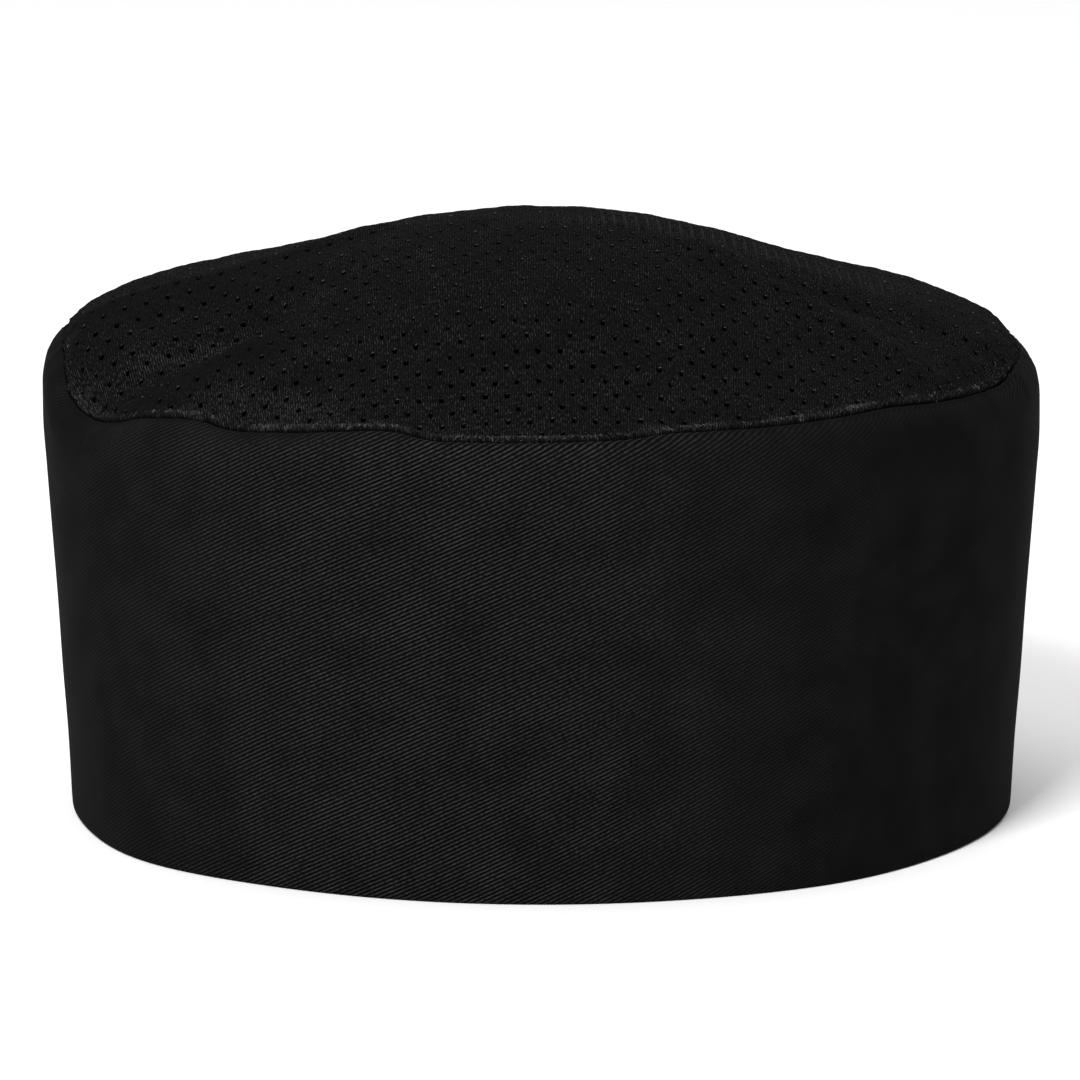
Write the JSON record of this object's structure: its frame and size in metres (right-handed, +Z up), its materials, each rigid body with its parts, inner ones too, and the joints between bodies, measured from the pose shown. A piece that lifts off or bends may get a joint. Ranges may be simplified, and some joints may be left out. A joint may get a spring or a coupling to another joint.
{
  "type": "chef skull cap",
  "caption": "Black cook's skull cap: a deep twill side band with a folded hem, and a low domed crown of perforated knit sewn to its top edge.",
  "frame": {"origin": "middle of the cap's box, on the surface the hem stands on", "axes": "+Z up through the crown, -Y towards the front of the cap, +X towards the right of a viewer in front of it"},
  "size_m": [0.1967, 0.2022, 0.1183],
  "materials": {
    "band_twill": "matt black cotton blend twill, fine diagonal line",
    "crown_mesh": "black polyester knit with rows of small eyelets, soft sheen"
  },
  "bodies": {
    "root": {"side_band": "band_twill", "crown": "crown_mesh"}
  },
  "joints": []
}
